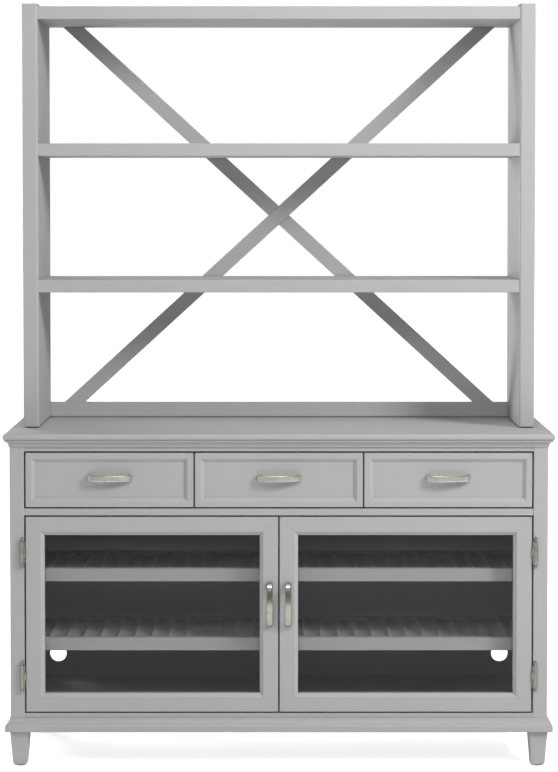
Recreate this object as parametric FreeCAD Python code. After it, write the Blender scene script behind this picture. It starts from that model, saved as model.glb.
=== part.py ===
import FreeCAD, Part
import math
import os

from FreeCAD import Vector

# Sideboard with hutch, in millimetres.
# Origin: on the floor, under the middle of the top panel. +X right, +Y back, +Z up.

# Top panel of the sideboard
top_width = 1524.0
top_depth = 457.0
top_height = 930.0
top_thickness = 19.0
top_upper_round = 8.5
top_lower_round = 8.5
side_overhang = 17.0
front_overhang = 17.0

# Cove moulding under the top panel
cove_height = 19.0
cove_reach = 13.0
cove_toe = 2.5
cove_lip = 3.5
mitre_allowance = 5.0

# Case frame
base_height = 99.5
post_width = 40.0
post_depth = 45.0
post_ease = 2.0
rail_thickness = 22.0
rail_setback = 1.5
tenon_length = 18.0
tenon_thickness = 8.0
tenon_shoulder = 4.0
bottom_rail_height = 51.0
mid_rail_height = 19.0
drawer_opening_height = 159.0
top_rail_height = 31.0
back_rail_height = 60.0

# Framed sides
side_rail_thickness = 34.0
side_top_rail_height = 56.0
side_bottom_rail_height = 74.0
side_panel_thickness = 20.0
tongue_thickness = 8.0
tongue_length = 8.0

# Inner boards
floor_thickness = 18.0
partition_thickness = 18.0
divider_thickness = 18.0
stop_play = 0.5
back_panel_thickness = 6.0
back_panel_lap = 8.0
cable_hole_radius = 25.0
cable_hole_inset = 46.0
cable_hole_rise = 69.7

# Base moulding and feet
base_moulding_height = 39.0
base_moulding_reach = 14.3
base_moulding_nose = 23.5
base_moulding_lip = 1.5
base_moulding_quirk = 7.5
base_moulding_round = 4.0
base_nose_slope = 1.5
base_cove_hollow_share = 0.25
base_cove_level_share = 0.45
foot_top_width = 53.5
foot_bottom_width = 38.0
foot_stand_out = 2.0
foot_corner_round = 4.0
foot_toe = 4.5
glide_radius = 11.0
glide_height = 2.0

# Doors and drawer fronts, set into the frame
reveal = 4.2
front_proud = 2.0
front_ease = 1.2
door_thickness = 22.0
door_member = 51.0
door_bevel_width = 10.0
door_bevel_depth = 7.0
glass_lip = 8.0
glass_lip_thickness = 4.0
glass_thickness = 4.0
glass_play = 1.0
drawer_front_thickness = 20.0
drawer_member = 25.0
drawer_bevel_width = 9.0
drawer_bevel_depth = 6.0
drawer_panel_depth = 7.0
drawer_panel_lap = 8.0

# Drawer boxes and the runners that carry them
box_bottom_gap = 15.0
box_height = 110.0
box_back_gap = 63.0
box_side_thickness = 14.0
box_back_thickness = 12.0
box_side_play = 1.5
box_bottom_thickness = 6.0
box_bottom_rise = 10.0
box_bottom_groove = 5.0
tail_count = 3
tail_narrow_share = 0.5
tail_wide_share = 0.8
runner_height = 18.0
runner_back_gap = 59.5
runner_depth = 8.0
runner_play = 0.3
runner_end_play = 0.5

# Bow pulls
pull_half_length = 61.0
pull_width = 17.0
pull_rise = 28.0
pull_shoulder_rise = 20.0
pull_shoulder_inset = 11.0
pull_thickness = 6.5
pull_foot = 10.0
pull_ease = 2.8
pull_turn_share = 0.6
pull_outer_share = 0.87
pull_inner_share = 0.8
drawer_pull_rise = 5.5
door_pull_rise = 28.75
door_pull_inset = 23.5

# Butt hinges
hinge_end_distance = 99.0
hinge_height = 63.0
hinge_outset = 6.0
barrel_radius = 5.5
barrel_clearance = 0.5
hinge_pin_radius = 2.0
hinge_pin_play = 0.05
knuckle_gap = 0.3
leaf_thickness = 1.4
leaf_depth = 24.0
finial_height = 12.0
finial_collar_height = 4.5
finial_collar_radius = 3.2
finial_ball_radius = 4.2

# Bottle shelves and their pins
shelf_setback = 50.0
shelf_back_gap = 102.0
shelf_front_height = 36.0
shelf_rail_thickness = 20.0
shelf_end_play = 1.5
shelf_board_rise = 8.0
shelf_stop_rise = 2.0
lower_shelf_share = 0.2974
upper_shelf_share = 0.65
flute_count = 14
flute_end_flat = 11.5
flute_crest = 3.0
flute_depth = 9.5
crest_drop = 2.0
shelf_pin_radius = 2.5
shelf_pin_play = 0.05
shelf_pin_bite = 9.0
shelf_pin_inner_bite = 7.2
shelf_pin_reach = 10.0

# Hutch
hutch_inset = 40.0
hutch_depth = 305.0
hutch_height = 1193.0
hutch_side_thickness = 43.0
hutch_inner_round = 6.0
hutch_outer_ease = 2.0
hutch_board_thickness = 36.0
hutch_board_ease = 2.0
hutch_board_setback = 3.0
hutch_board_housing = 6.0
hutch_top_drop = 7.0
hutch_lower_shelf_height = 380.0
hutch_upper_shelf_height = 765.0
brace_width = 41.0
brace_thickness = 20.0
brace_step = 4.0
brace_foot_inset = 73.0
brace_tenon_width = 24.0
brace_tenon_length = 15.0
back_bar_height = 41.0
back_bar_inset = 4.0
pad_margin = 4.5
pad_thickness = 3.0
pad_inset = 12.0
plate_width = 30.0
plate_height = 130.0
plate_thickness = 2.0
plate_corner_round = 7.5

# Working allowances: how far cutters run past a face, and how close counts as touching
overcut = 1.0
touching = 1e-3

# Places that follow from the sizes above
case_half = top_width / 2 - side_overhang
front_y = -top_depth / 2 + front_overhang
back_y = top_depth / 2
slab_under = top_height - top_thickness
opening_half = case_half - post_width
rail_front = front_y + rail_setback
rail_back = rail_front + rail_thickness
bottom_rail_top = base_height + bottom_rail_height
top_rail_bottom = slab_under - top_rail_height
mid_rail_top = top_rail_bottom - drawer_opening_height
mid_rail_bottom = mid_rail_top - mid_rail_height
panel_inner_y = back_y - back_panel_thickness
post_back = front_y + post_depth
back_post_front = back_y - post_depth
leaf_front = front_y - front_proud
door_back = leaf_front + door_thickness
drawer_back = leaf_front + drawer_front_thickness
door_bottom = bottom_rail_top + reveal
door_top = mid_rail_bottom - reveal
door_width = opening_half - 1.5 * reveal
drawer_bottom = mid_rail_top + reveal
drawer_top = top_rail_bottom - reveal
drawer_width = (2 * opening_half - 4 * reveal) / 3
divider_x = (drawer_width + reveal) / 2
hutch_base = top_height + pad_thickness
hutch_front = back_y - hutch_depth
hutch_half = top_width / 2 - hutch_inset
hutch_inner = hutch_half - hutch_side_thickness
hinge_x = opening_half + hinge_outset
hinge_y = front_y - barrel_radius - barrel_clearance
box_low = drawer_bottom + box_bottom_gap
box_high = box_low + box_height
runner_middle = (box_low + box_high) / 2
shelf_front = front_y + shelf_setback
shelf_back = panel_inner_y - shelf_back_gap
cupboard_height = mid_rail_bottom - bottom_rail_top
lower_shelf_height = bottom_rail_top + lower_shelf_share * cupboard_height
upper_shelf_height = bottom_rail_top + upper_shelf_share * cupboard_height
brace_back = back_y - back_bar_inset
brace_front = brace_back - brace_step - brace_thickness
brace_foot_reach = hutch_inner - brace_foot_inset
brace_low = hutch_base + back_bar_height
brace_high = hutch_base + hutch_height - hutch_top_drop - hutch_board_thickness


def box(x0, x1, y0, y1, z0, z1):
    return Part.makeBox(x1 - x0, y1 - y0, z1 - z0, Vector(x0, y0, z0))


def rod(radius, start, direction, length):
    return Part.makeCylinder(radius, length, start, direction)


def outline(place, start, *steps):
    """Flat face from an outline: a step is a point for a line, or (middle, end) for an arc."""
    edges = []
    here = start
    for step in steps + (start,):
        if isinstance(step[0], tuple):
            middle, end = step
            edges.append(Part.Arc(place(*here), place(*middle), place(*end)).toShape())
        else:
            end = step
            if place(*here).distanceToPoint(place(*end)) > touching:
                edges.append(Part.LineSegment(place(*here), place(*end)).toShape())
        here = end
    return Part.Face(Part.Wire(edges))


def round_edges(shape, radius, wanted):
    """Fillet the edges whose two end points both satisfy the test."""
    edges = [e for e in shape.Edges if all(wanted(v.Point) for v in e.Vertexes)]
    return shape.makeFillet(radius, edges)


def eased(shape, radius, direction):
    """Fillet every straight edge that runs along one direction."""
    edges = []
    for edge in shape.Edges:
        if len(edge.Vertexes) == 2:
            run = edge.Vertexes[1].Point - edge.Vertexes[0].Point
            if run.Length > touching and abs(run.normalize().dot(direction)) > 1 - touching:
                edges.append(edge)
    return shape.makeFillet(radius, edges)


def mirrored(shape):
    return shape.mirror(Vector(0, 0, 0), Vector(1, 0, 0))


def moved(shape, x, y, z):
    copy = shape.copy()
    copy.translate(Vector(x, y, z))
    return copy


def both(shape):
    """A piece and its mirror image on the other side, as two solids."""
    return [shape, mirrored(shape)]


def export(name, solids):
    pieces = []
    for solid in solids:
        pieces.extend(solid.Solids)
    shape = pieces[0] if len(pieces) == 1 else Part.makeCompound(pieces)
    shape.exportStep(os.path.join("parts", name + ".step"))


X = Vector(1, 0, 0)
Y = Vector(0, 1, 0)
Z = Vector(0, 0, 1)


# Sideboard top and its cove moulding

def rounded_nose(edge, inwards):
    """Steps up a moulded edge: round underneath, upright, then a smaller round on top."""
    bend = 1 - math.sqrt(0.5)
    low = top_lower_round
    high = top_upper_round
    return [((edge + inwards * low * bend, slab_under + low * bend), (edge, slab_under + low)),
            (edge, top_height - high),
            ((edge + inwards * high * bend, top_height - high * bend), (edge + inwards * high, top_height))]


def make_top_panel():
    """Slab with a moulded front and sides: the front section and the side section, intersected."""
    half = top_width / 2
    front = -top_depth / 2
    along = lambda y, z: Vector(-half, y, z)
    front_face = outline(along, (back_y, slab_under), (front + top_lower_round, slab_under),
                         *rounded_nose(front, 1), (back_y, top_height))
    across = lambda x, z: Vector(x, front, z)
    left = rounded_nose(-half, 1)
    right = rounded_nose(half, -1)
    side_face = outline(across, (0, slab_under), (-half + top_lower_round, slab_under), *left,
                        (half - top_upper_round, top_height), *down(right, half - top_lower_round))
    return front_face.extrude(X * top_width).common(side_face.extrude(Y * top_depth))


def down(steps, foot):
    """The steps of a nose, taken from the top back down to the underside."""
    (low_mid, low_end), upright_end, (high_mid, high_end) = steps
    return [(high_mid, upright_end), low_end, (low_mid, (foot, slab_under))]


def mitred_run(profile, reach):
    """Front and side lengths of a moulding, mitred at the case's front corners.

    The profile is a function that draws the section on a plane given by a placing function
    of (distance out from the case, height).
    """
    far = reach + mitre_allowance
    front_face = profile(lambda out, z: Vector(-case_half - far, front_y - out, z))
    front_bar = front_face.extrude(X * (2 * (case_half + far)))
    side_face = profile(lambda out, z: Vector(-case_half - out, front_y - far, z))
    side_bar = side_face.extrude(Y * (back_y - front_y + far))
    flat = lambda x, y: Vector(x, y, 0)
    front_zone = outline(flat, (-case_half, front_y), (case_half, front_y),
                         (case_half + far, front_y - far), (-case_half - far, front_y - far))
    side_zone = outline(flat, (-case_half, front_y), (-case_half - far, front_y - far),
                        (-case_half - far, back_y), (-case_half, back_y))
    front = front_bar.common(front_zone.extrude(Z * top_height))
    side = side_bar.common(side_zone.extrude(Z * top_height))
    return [front] + both(side)


def cove_profile(place):
    low = slab_under - cove_height
    hollow = cove_reach - cove_toe
    start = (cove_toe, low + cove_lip)
    end = (cove_reach, slab_under - cove_lip)
    rise = end[1] - start[1]
    middle = (end[0] - hollow * math.cos(math.pi / 4), start[1] + rise * math.sin(math.pi / 4))
    return outline(place, (0, low), (cove_toe, low), start, (middle, end),
                   (cove_reach, slab_under), (0, slab_under))


def base_profile(place):
    low = base_height
    high = base_height + base_moulding_height
    nose = low + base_moulding_nose
    reach = base_moulding_reach
    quirk = base_moulding_quirk
    lip = base_moulding_lip
    turn = base_moulding_round
    bend = math.sqrt(0.5)
    cove_middle = (lip + (quirk - lip) * base_cove_hollow_share,
                   nose + (high - lip - nose) * base_cove_level_share)
    nose_width = reach - quirk
    nose_rise = nose_width * base_nose_slope
    nose_middle = (quirk + nose_width * bend, nose - nose_rise * (1 - bend))
    toe_middle = (reach - turn * (1 - bend), low + turn * (1 - bend))
    return outline(place, (0, low), (reach - turn, low), (toe_middle, (reach, low + turn)),
                   (reach, nose - nose_rise), (nose_middle, (quirk, nose)),
                   (cove_middle, (lip, high - lip)), (0, high))


# Case frame

def tenoned_rail(y0, y1, z0, z1):
    """Rail across the opening, with a stub tenon at each end."""
    rail = box(-opening_half, opening_half, y0, y1, z0, z1)
    middle = (y0 + y1) / 2
    tongue = box(-opening_half - tenon_length, opening_half + tenon_length,
                 middle - tenon_thickness / 2, middle + tenon_thickness / 2,
                 z0 + tenon_shoulder, z1 - tenon_shoulder)
    return rail.fuse(tongue).removeSplitter()


def side_rail(z0, z1):
    """Left side rail between the front and back posts, with a stub tenon at each end."""
    x0 = -opening_half - side_rail_thickness
    rail = box(x0, -opening_half, post_back, back_post_front, z0, z1)
    middle = x0 + side_rail_thickness / 2
    tongue = box(middle - tenon_thickness / 2, middle + tenon_thickness / 2,
                 post_back - tenon_length, back_post_front + tenon_length,
                 z0 + tenon_shoulder, z1 - tenon_shoulder)
    return rail.fuse(tongue).removeSplitter()


def make_side_panel():
    """Left side panel, flush inside, with a tongue all round that lies in the frame's grooves."""
    low = base_height + side_bottom_rail_height
    high = slab_under - side_top_rail_height
    x0 = -opening_half - side_panel_thickness
    board = box(x0, -opening_half, post_back, back_post_front, low, high)
    middle = x0 + side_panel_thickness / 2
    tongue = box(middle - tongue_thickness / 2, middle + tongue_thickness / 2,
                 post_back - tongue_length, back_post_front + tongue_length,
                 low - tongue_length, high + tongue_length)
    return board.fuse(tongue).removeSplitter()


def make_post(y0):
    """Left corner post between the foot and the top panel, with softened long edges."""
    post = box(-case_half, -opening_half, y0, y0 + post_depth, base_height, slab_under)
    return eased(post, post_ease, Z)


def make_back_panel():
    half = opening_half + back_panel_lap
    low = bottom_rail_top - floor_thickness
    panel = box(-half, half, panel_inner_y, back_y, low, slab_under)
    for side in (-1, 1):
        start = Vector(side * (opening_half - cable_hole_inset), panel_inner_y,
                       bottom_rail_top + cable_hole_rise)
        panel = panel.cut(rod(cable_hole_radius, start, Y, back_panel_thickness))
    return panel


def make_divider(rails):
    """Upright between the left and the centre drawer, notched round the rails."""
    board = box(-divider_x - divider_thickness / 2, -divider_x + divider_thickness / 2,
                drawer_back + stop_play, panel_inner_y, mid_rail_top, slab_under)
    return board.cut(rails)


def rounded_square(centre_x, centre_y, width, corner, z):
    half = width / 2
    bend = corner * (1 - math.sqrt(0.5))
    near = half - corner
    far = half - bend
    place = lambda x, y: Vector(centre_x + x, centre_y + y, z)
    return outline(place, (-near, -half), (near, -half), ((far, -far), (half, -near)),
                   (half, near), ((far, far), (near, half)), (-near, half),
                   ((-far, far), (-half, near)), (-half, -near), ((-far, -far), (-near, -half))).OuterWire


def foot_centre_y(at_front):
    half = foot_top_width / 2
    return front_y - foot_stand_out + half if at_front else back_y - half


def make_foot(centre_y):
    """Left tapered foot: a loft from the wide head to the narrow toe, softened underneath."""
    centre_x = -case_half - foot_stand_out + foot_top_width / 2
    share = foot_toe / (base_height - glide_height)
    toe_width = foot_bottom_width + (foot_top_width - foot_bottom_width) * share
    sections = [
        rounded_square(centre_x, centre_y, foot_top_width, foot_corner_round, base_height),
        rounded_square(centre_x, centre_y, toe_width, foot_corner_round, glide_height + foot_toe),
        rounded_square(centre_x, centre_y, foot_bottom_width - 2 * foot_toe, foot_corner_round,
                       glide_height),
    ]
    foot = Part.makeLoft(sections, True, True)
    glide = rod(glide_radius, Vector(centre_x, centre_y, 0), Z, glide_height)
    return foot, glide


# Doors and drawer fronts

def mitred_frame(x0, x1, z0, z1, y0, member, section):
    """Four lengths of one section, mitred round a rectangle that faces forward.

    The section is a function that draws the profile on a placing function of
    (distance in from the outer edge, depth behind the front face).
    """
    middle_x = (x0 + x1) / 2
    middle_z = (z0 + z1) / 2
    flat = lambda x, z: Vector(x, y0 - overcut, z)
    reach = member + overcut
    depth = Y * (max(door_thickness, drawer_front_thickness) + 2 * overcut)
    bottom = section(lambda u, v: Vector(x0, y0 + v, z0 + u)).extrude(X * (x1 - x0))
    zone = outline(flat, (x0, z0), (x1, z0), (x1 - reach, z0 + reach), (x0 + reach, z0 + reach))
    bottom = bottom.common(zone.extrude(depth))
    left = section(lambda u, v: Vector(x0 + u, y0 + v, z0)).extrude(Z * (z1 - z0))
    zone = outline(flat, (x0, z0), (x0 + reach, z0 + reach), (x0 + reach, z1 - reach), (x0, z1))
    left = left.common(zone.extrude(depth))
    top = bottom.mirror(Vector(0, 0, middle_z), Z)
    right = left.mirror(Vector(middle_x, 0, 0), X)
    return [bottom, left, top, right]


def door_section(place):
    """Flat face, bevel down to the glass, and a rebate behind for the glass and its beads."""
    flat = door_member - door_bevel_width
    shoulder = door_bevel_depth + glass_lip_thickness
    wall = door_member - glass_lip
    bend = front_ease * (1 - math.sqrt(0.5))
    return outline(place, (front_ease, 0), (flat, 0), (door_member, door_bevel_depth),
                   (door_member, shoulder), (wall, shoulder), (wall, door_thickness),
                   (0, door_thickness), (0, front_ease), ((bend, bend), (front_ease, 0)))


def drawer_section(place):
    """Flat face, bevel down to the sunk panel, and a rebate behind that holds the panel."""
    flat = drawer_member - drawer_bevel_width
    wall = drawer_member - drawer_panel_lap
    bend = front_ease * (1 - math.sqrt(0.5))
    return outline(place, (front_ease, 0), (flat, 0), (drawer_member, drawer_bevel_depth),
                   (drawer_member, drawer_panel_depth), (wall, drawer_panel_depth),
                   (wall, drawer_front_thickness), (0, drawer_front_thickness), (0, front_ease),
                   ((bend, bend), (front_ease, 0)))


def bead_section(place):
    wall = door_member - glass_lip
    seat = door_bevel_depth + glass_lip_thickness + glass_thickness
    return outline(place, (wall, seat), (door_member, seat), (door_member, door_thickness),
                   (wall, door_thickness))


def make_glass(x0, x1):
    edge = door_member - glass_lip + glass_play
    seat = leaf_front + door_bevel_depth + glass_lip_thickness
    return box(x0 + edge, x1 - edge, seat, seat + glass_thickness, door_bottom + edge, door_top - edge)


def make_drawer_front(x0, x1):
    frame = mitred_frame(x0, x1, drawer_bottom, drawer_top, leaf_front, drawer_member, drawer_section)
    wall = drawer_member - drawer_panel_lap
    panel = box(x0 + wall, x1 - wall, leaf_front + drawer_panel_depth, drawer_back,
                drawer_bottom + wall, drawer_top - wall)
    return frame + [panel]


# Drawer boxes and runners

def make_tails(x0):
    """Dovetails of one drawer side, widening towards the drawer's front."""
    step = box_height / tail_count
    narrow = step * tail_narrow_share / 2
    wide = step * tail_wide_share / 2
    root = drawer_back + box_side_thickness
    tails = []
    for index in range(tail_count):
        z = box_low + step * (index + 0.5)
        place = lambda y, dz: Vector(x0, y, z + dz)
        face = outline(place, (root, -narrow), (root, narrow), (drawer_back, wide), (drawer_back, -wide))
        tails.append(face.extrude(X * box_side_thickness))
    return tails


def make_drawer_box(bay_left, bay_right):
    """Dovetailed box with a bottom in grooves; its sides are grooved to hang on the runners."""
    x0 = bay_left + box_side_play
    x1 = bay_right - box_side_play
    y1 = panel_inner_y - box_back_gap
    root = drawer_back + box_side_thickness
    inner0 = x0 + box_side_thickness
    inner1 = x1 - box_side_thickness
    bottom_low = box_low + box_bottom_rise
    bottom_high = bottom_low + box_bottom_thickness
    bottom = box(inner0 - box_bottom_groove, inner1 + box_bottom_groove, root - box_bottom_groove, y1,
                 bottom_low, bottom_high)
    front = box(x0, x1, drawer_back, root, box_low, box_high)
    back = box(inner0, inner1, y1 - box_back_thickness, y1, bottom_high, box_high)
    groove_front = rail_back + runner_end_play
    groove_half = runner_height / 2 + runner_play
    sides = []
    for outer, inner, start in ((x0, inner0, x0), (x1, inner1, inner1)):
        tails = make_tails(start)
        board = box(min(outer, inner), max(outer, inner), root, y1, box_low, box_high)
        side = board.fuse(tails).removeSplitter()
        front = front.cut(tails)
        floor_x = outer + runner_depth if outer < inner else outer - runner_depth
        groove = box(min(outer, floor_x), max(outer, floor_x), groove_front, y1 + overcut,
                     runner_middle - groove_half, runner_middle + groove_half)
        sides.append(side.cut(groove).cut(bottom))
    return sides + [front.cut(bottom), back, bottom]


def make_runners(bay_left, bay_right):
    reach = box_side_play + runner_depth - runner_end_play
    y0 = rail_back + 2 * runner_end_play
    y1 = panel_inner_y - runner_back_gap
    low = runner_middle - runner_height / 2
    high = runner_middle + runner_height / 2
    return [box(bay_left, bay_left + reach, y0, y1, low, high),
            box(bay_right - reach, bay_right, y0, y1, low, high)]


# Pulls

def make_pull():
    """Bow pull along X on a face at y = 0, standing out towards -Y, softened all round."""
    half = pull_half_length
    shoulder = half - pull_shoulder_inset
    inner_shoulder = shoulder - pull_thickness
    inner_rise = pull_shoulder_rise - pull_thickness
    foot = half - pull_foot
    place = lambda x, rise: Vector(x, -rise, -pull_width / 2)
    outer_mid = (shoulder + pull_shoulder_inset * pull_outer_share, pull_shoulder_rise * pull_turn_share)
    inner_mid = (inner_shoulder + (foot - inner_shoulder) * pull_inner_share, inner_rise * pull_turn_share)
    flip = lambda point: (-point[0], point[1])
    face = outline(place, (foot, 0), (half, 0),
                   (outer_mid, (shoulder, pull_shoulder_rise)),
                   ((0, pull_rise), (-shoulder, pull_shoulder_rise)),
                   (flip(outer_mid), (-half, 0)), (-foot, 0),
                   (flip(inner_mid), (-inner_shoulder, inner_rise)),
                   ((0, pull_rise - pull_thickness), (inner_shoulder, inner_rise)),
                   (inner_mid, (foot, 0)))
    bar = face.extrude(Z * pull_width)
    edges = []
    for edge in bar.Edges:
        points = [v.Point for v in edge.Vertexes]
        level = abs(points[0].z - points[1].z) < touching
        on_face = all(abs(p.y) < touching for p in points)
        if level and not on_face:
            edges.append(edge)
    return bar.makeFillet(pull_ease, edges)


def upright(pull):
    turned = pull.copy()
    turned.rotate(Vector(0, 0, 0), Y, 90)
    return turned


# Hinges of the left door

def ring(radius, z0, z1):
    return rod(radius, Vector(-hinge_x, hinge_y, z0), Z, z1 - z0)


def hinge_levels():
    return [door_bottom + hinge_end_distance, door_top - hinge_end_distance]


def knuckle_bounds(middle):
    step = hinge_height / 3
    low = middle - hinge_height / 2
    return low, low + step, low + 2 * step, low + hinge_height


def hinge_plate(x0, middle):
    half = hinge_height / 2
    return box(x0, x0 + leaf_thickness, front_y, front_y + leaf_depth, middle - half, middle + half)


def knuckle(x0, z0, z1):
    """One length of the barrel, with the cranked neck that carries it out from the plate at x0."""
    x1 = x0 + leaf_thickness
    neck_front = hinge_y - leaf_thickness / 2
    across = box(-hinge_x, x1, neck_front, neck_front + leaf_thickness, z0, z1)
    inwards = box(x0, x1, neck_front, front_y, z0, z1)
    return ring(barrel_radius, z0, z1).fuse([across, inwards])


def hinge_bore(z0, z1):
    return ring(hinge_pin_radius + hinge_pin_play, z0 - overcut, z1 + overcut)


def make_frame_leaf(middle):
    z0, z1, z2, z3 = knuckle_bounds(middle)
    gap = knuckle_gap / 2
    x0 = -opening_half
    leaf = hinge_plate(x0, middle).fuse([knuckle(x0, z0, z1 - gap), knuckle(x0, z2 + gap, z3)])
    return leaf.cut(hinge_bore(z0, z3)).removeSplitter()


def make_door_leaf(middle):
    z0, z1, z2, z3 = knuckle_bounds(middle)
    gap = knuckle_gap / 2
    x0 = -opening_half + reveal - leaf_thickness
    leaf = hinge_plate(x0, middle).fuse(knuckle(x0, z1 + gap, z2 - gap))
    return leaf.cut(hinge_bore(z0, z3)).removeSplitter()


def make_hinge_pin(middle):
    """Loose pin with a collar and a ball finial on both ends."""
    half = hinge_height / 2 + knuckle_gap
    pin = ring(hinge_pin_radius, middle - half, middle + half)
    ends = []
    for side in (-1, 1):
        z = middle + side * half
        collar_end = z + side * finial_collar_height
        ends.append(ring(finial_collar_radius, min(z, collar_end), max(z, collar_end)))
        centre = Vector(-hinge_x, hinge_y, z + side * (finial_height - finial_ball_radius))
        ends.append(Part.makeSphere(finial_ball_radius, centre))
    return pin.fuse(ends).removeSplitter()


# Bottle shelves

def make_bottle_shelf(height):
    """Left shelf: front rail, board with bottle flutes from front to back, and a back stop rail."""
    x0 = -opening_half + shelf_end_play
    x1 = -partition_thickness / 2 - shelf_end_play
    board_front = shelf_front + shelf_rail_thickness
    board_back = shelf_back - shelf_rail_thickness
    front_top = height + shelf_front_height
    crest = front_top - crest_drop
    front = box(x0, x1, shelf_front, board_front, height, front_top)
    front = round_edges(front, front_ease, lambda p: p.y < shelf_front + touching)
    stop = box(x0, x1, board_back, shelf_back, height, front_top + shelf_stop_rise)
    flute_pitch = (x1 - x0 - 2 * flute_end_flat) / flute_count
    steps = [(x1, height + shelf_board_rise), (x1, crest)]
    for index in reversed(range(flute_count)):
        left = x0 + flute_end_flat + index * flute_pitch + flute_crest / 2
        right = left + flute_pitch - flute_crest
        steps.append((right, crest))
        steps.append((((left + right) / 2, crest - flute_depth), (left, crest)))
    steps.append((x0, crest))
    place = lambda x, z: Vector(x, board_front, z)
    face = outline(place, (x0, height + shelf_board_rise), *steps)
    board = face.extrude(Y * (board_back - board_front))
    return [front, board, stop]


def shelf_pin_places():
    front = shelf_front + shelf_rail_thickness / 2
    back = shelf_back - shelf_rail_thickness / 2
    places = []
    for height in (lower_shelf_height, upper_shelf_height):
        for y in (front, back):
            places.append((y, height - shelf_pin_radius))
    return places


def shelf_pins(radius):
    """Pins of the left bay: a list for the side panel and a list for the partition."""
    outer = []
    inner = []
    for y, z in shelf_pin_places():
        start = Vector(-opening_half - shelf_pin_bite, y, z)
        outer.append(rod(radius, start, X, shelf_pin_bite + shelf_pin_reach))
        start = Vector(-partition_thickness / 2 - shelf_pin_reach, y, z)
        inner.append(rod(radius, start, X, shelf_pin_reach + shelf_pin_inner_bite))
    return outer, inner


# Hutch

def make_hutch_board(low, high):
    """Shelf or top between the hutch sides, with ends that lie in housings in the sides."""
    half = hutch_inner + hutch_board_housing
    y0 = hutch_front + hutch_board_setback
    board = box(-half, half, y0, brace_front, low, high)
    return round_edges(board, hutch_board_ease, lambda p: p.y < y0 + touching)


def make_hutch_side(boards, bars):
    """Left hutch side: a thick board, rounded inside the front edge, housed for the shelves."""
    high = hutch_base + hutch_height
    side = box(-hutch_half, -hutch_inner, hutch_front, back_y, hutch_base, high)
    at_front = lambda p: p.y < hutch_front + touching
    side = round_edges(side, hutch_inner_round, lambda p: at_front(p) and p.x > -hutch_inner - touching)
    side = round_edges(side, hutch_outer_ease, lambda p: at_front(p) and p.x < -hutch_half + touching)
    return side.cut(boards + bars)


def make_back_bar(low, high):
    half = hutch_inner + hutch_board_housing
    return box(-half, half, brace_front, brace_back, low, high)


def brace_bar(side, y0, y1):
    """Slanted bar with level ends, rising to the right for side = 1 and to the left for -1."""
    reach = side * brace_foot_reach
    slant = math.hypot(2 * brace_foot_reach, brace_high - brace_low) / (brace_high - brace_low)
    half = brace_width * slant / 2
    place = lambda x, z: Vector(x, y0, z)
    face = outline(place, (-reach - half, brace_low), (-reach + half, brace_low),
                   (reach + half, brace_high), (reach - half, brace_high))
    return face.extrude(Y * (y1 - y0))


def brace_tenons(side, y0):
    """Stub tenons at the foot and the head of a brace."""
    reach = side * brace_foot_reach
    half = brace_tenon_width / 2
    front = y0 + (brace_thickness - tenon_thickness) / 2
    back = front + tenon_thickness
    return [box(-reach - half, -reach + half, front, back, brace_low - brace_tenon_length, brace_low),
            box(reach - half, reach + half, front, back, brace_high, brace_high + brace_tenon_length)]


def make_braces():
    """Two bars that cross in a half lap, the front one standing a step proud of the rear one."""
    rear_y = brace_front + brace_step
    lap = (brace_front + brace_back) / 2
    front = brace_bar(1, brace_front, brace_front + brace_thickness).fuse(brace_tenons(1, brace_front))
    rear = brace_bar(-1, rear_y, rear_y + brace_thickness).fuse(brace_tenons(-1, rear_y))
    front = front.removeSplitter().cut(brace_bar(-1, lap, back_y))
    rear = rear.removeSplitter().cut(brace_bar(1, hutch_front, lap))
    return front, rear


def make_pads():
    """Felt pads under the left hutch side, front and back."""
    pad_size = hutch_side_thickness - 2 * pad_margin
    x0 = -hutch_half + pad_margin
    ends = [hutch_front + pad_inset, back_y - pad_inset - pad_size]
    return [box(x0, x0 + pad_size, y, y + pad_size, top_height, hutch_base) for y in ends]


def make_joining_plate():
    """Left steel plate that ties the hutch side to the back post behind it."""
    middle = -(opening_half + hutch_half) / 2
    plate = box(middle - plate_width / 2, middle + plate_width / 2, back_y, back_y + plate_thickness,
                top_height - plate_height / 2, top_height + plate_height / 2)
    return eased(plate, plate_corner_round, Y)


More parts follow.
